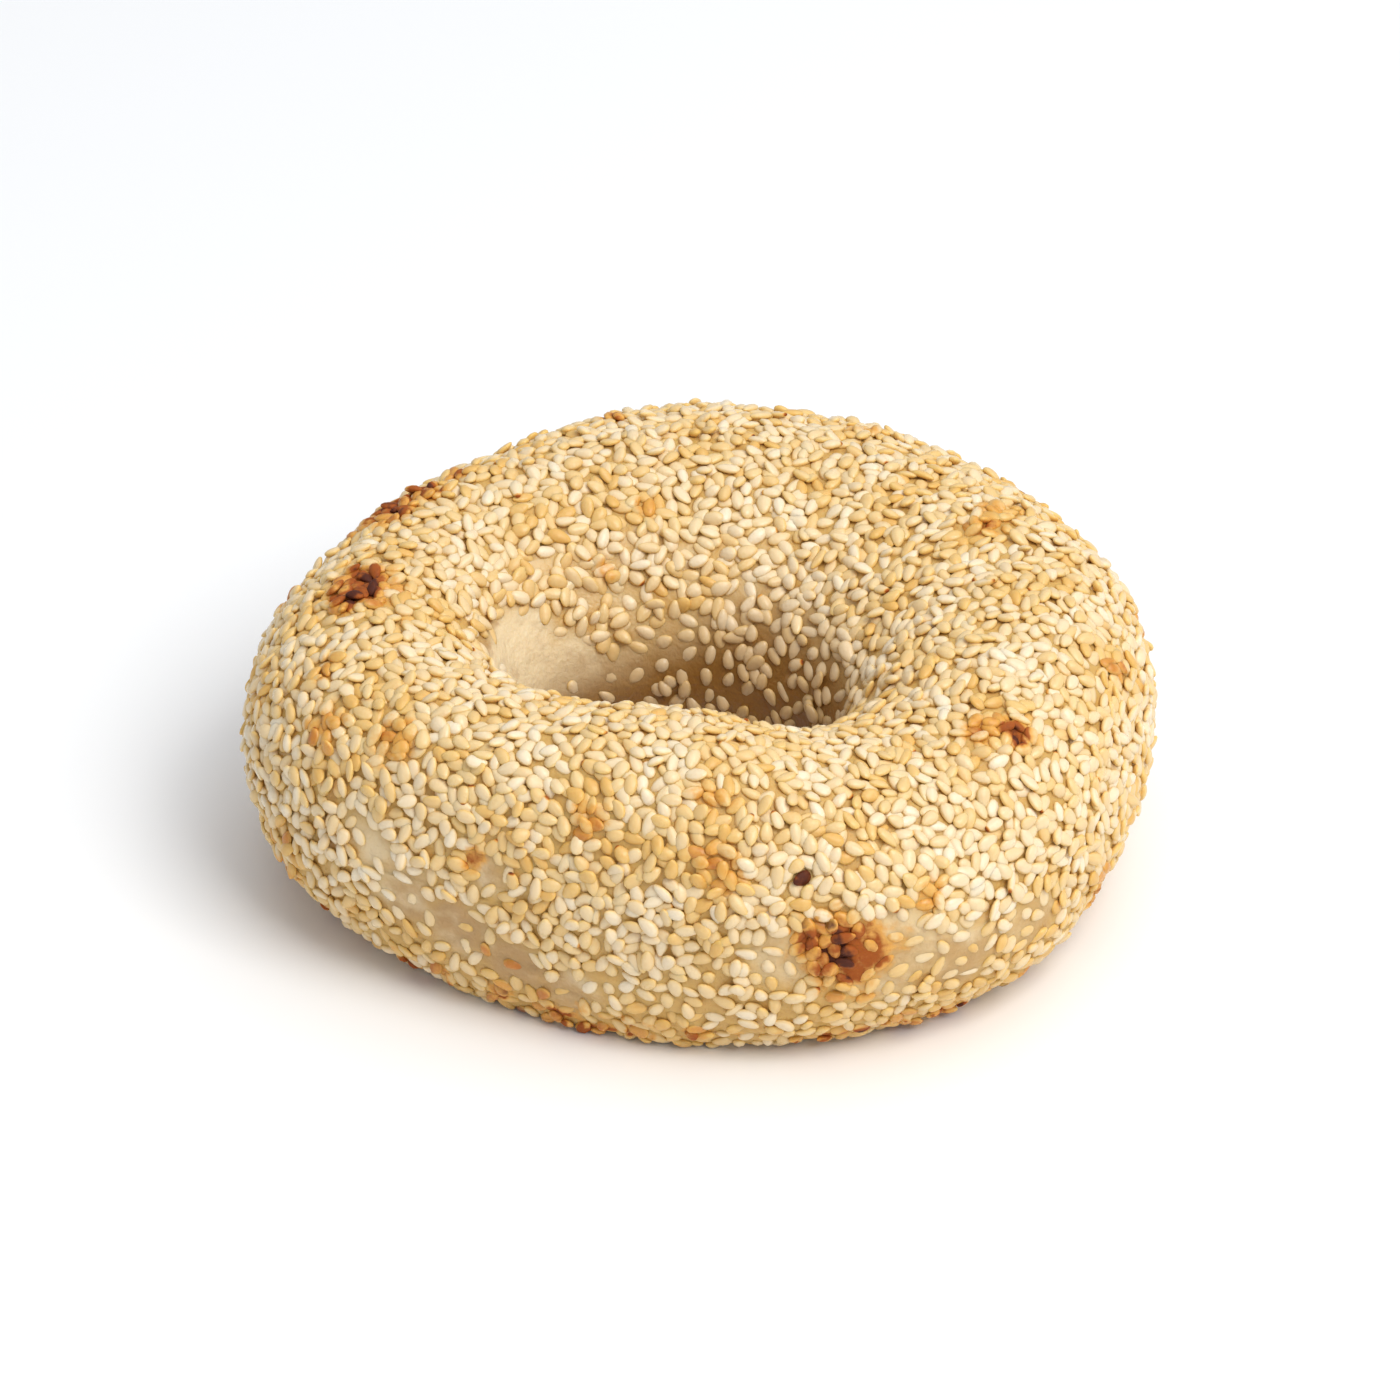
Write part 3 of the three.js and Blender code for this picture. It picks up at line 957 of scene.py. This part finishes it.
def seed_material(name, paler, deeper, oven_colour, skin_grain):
    """A hulled seed: waxy and slightly translucent, its own tone, and a browned tip on a few."""
    material, tree, surface, place = new_material("seed_" + name)
    # Painted shade on the seed's underside and down in the hole.
    under = calculate(tree, "MULTIPLY", attribute(tree, "under"), UNDER_SHADE_SHARE)
    hollow_shade = calculate(tree, "MULTIPLY", attribute(tree, "hollow"), HOLLOW_SHADE_SHARE)
    colour_inputs = {
        "Place": place,
        "Paler": with_painted_shade(tree, paler, under, hollow_shade),
        "Deeper": with_painted_shade(tree, deeper, under, hollow_shade),
        "Tone": attribute(tree, "tone"),
        "Mottle": SEED_FINISH["mottle"],
        "Mottle size": SEED_FINISH["mottle_size"],
        "Heat": calculate(tree, "MAXIMUM", attribute(tree, "tip"), attribute(tree, "browning")),
    }
    baked = use_group(tree, oven_colour, colour_inputs)
    colour, dryness = baked.outputs["Colour"], baked.outputs["Dryness"]
    finish_surface(tree, surface, place, colour, dryness, skin_grain, SEED_FINISH)
    return material


# ---- stage -----------------------------------------------------------------------------------

CAMERA_DISTANCE = 1.0
CAMERA_ELEVATION = 34
FRAME_WIDTH = 0.178  # width of what the camera sees at the bagel
TABLE_RADIUS = 4.0
TABLE_SIDES = 96
TABLE_WHITES = (srgb(247, 247, 248), srgb(251, 251, 251))
TABLE_CLOUDS = 3.0  # scale of a faint unevenness in its white
TABLE_DETAIL = 2.0
TABLE_ROUGHNESS = 0.6

# Soft square lights that look at the bagel: (name, azimuth, elevation, distance, size, power, colour).
# Azimuth 0 stands in front, and 90 to the right.
LIGHTS = [
    ("key", 42, 52, 1.1, 0.60, 8.3, (1.0, 0.985, 0.95)),
    ("top", 120, 76, 1.2, 1.40, 5.4, (1.0, 0.99, 0.97)),
]
ROOM_COLOUR = (0.88, 0.93, 1.0, 1.0)
ROOM_STRENGTH = 0.50


def make_floor():
    shape = bmesh.new()
    bmesh.ops.create_circle(shape, segments=TABLE_SIDES, radius=TABLE_RADIUS, cap_ends=True)
    mesh_data = bpy.data.meshes.new("table_top")
    shape.to_mesh(mesh_data)
    shape.free()
    floor = bpy.data.objects.new("table_top", mesh_data)
    bpy.context.scene.collection.objects.link(floor)
    material, tree, surface, place = new_material("table_white")
    cloudy = noise_texture(tree, place, TABLE_CLOUDS, TABLE_DETAIL)
    feed(tree, surface.inputs["Base Color"], mix_colours(tree, cloudy, *TABLE_WHITES))
    feed(tree, surface.inputs["Roughness"], TABLE_ROUGHNESS)
    mesh_data.materials.append(material)


def aim(item, target):
    item.rotation_euler = (target - item.location).to_track_quat("-Z", "Y").to_euler()


def make_light(name, azimuth, elevation, away, size, power, colour):
    light = bpy.data.lights.new(name, "AREA")
    light.shape = "SQUARE"
    light.size = size
    light.energy = power
    light.color = colour
    item = bpy.data.objects.new(name, light)
    bpy.context.scene.collection.objects.link(item)
    turn, rise = math.radians(azimuth), math.radians(elevation)
    target = (CAD_LOW + CAD_HIGH) / 2
    level = math.cos(rise)
    direction = Vector((math.sin(turn) * level, -math.cos(turn) * level, math.sin(rise)))
    item.location = target + away * direction
    aim(item, target)


def make_lights():
    for row in LIGHTS:
        make_light(*row)
    world = bpy.data.worlds.new("studio")
    world.use_nodes = True
    background = world.node_tree.nodes["Background"]
    background.inputs["Color"].default_value = ROOM_COLOUR
    background.inputs["Strength"].default_value = ROOM_STRENGTH
    bpy.context.scene.world = world
    bpy.context.scene.view_settings.view_transform = "Standard"


def make_camera():
    camera = bpy.data.cameras.new("camera")
    camera.lens = camera.sensor_width * CAMERA_DISTANCE / FRAME_WIDTH
    item = bpy.data.objects.new("camera", camera)
    bpy.context.scene.collection.objects.link(item)
    target = (CAD_LOW + CAD_HIGH) / 2
    rise = math.radians(CAMERA_ELEVATION)
    item.location = target + CAMERA_DISTANCE * Vector((0, -math.cos(rise), math.sin(rise)))
    aim(item, target)
    bpy.context.scene.camera = item


# ---- making ----------------------------------------------------------------------------------


def main():
    make_camera()
    make_floor()
    make_lights()
    oven_colour = oven_colour_group()
    skin_grain = skin_grain_group()
    grid, normals = shaped_grid()
    middle = (CAD_LOW + CAD_HIGH) / 2 / MM
    own_middle = (grid.reshape(-1, 3).min(axis=0) + grid.reshape(-1, 3).max(axis=0)) / 2
    offset = Vector((middle.x - own_middle[0], middle.y - own_middle[1], 0))
    dough = make_dough(grid, offset, dough_material(oven_colour, skin_grain))
    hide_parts("bagel")
    materials = {
        name: seed_material(name, paler, deeper, oven_colour, skin_grain)
        for name, _, paler, deeper in SEED_KINDS
    }
    make_seeds(grid, normals, offset, materials)


main()
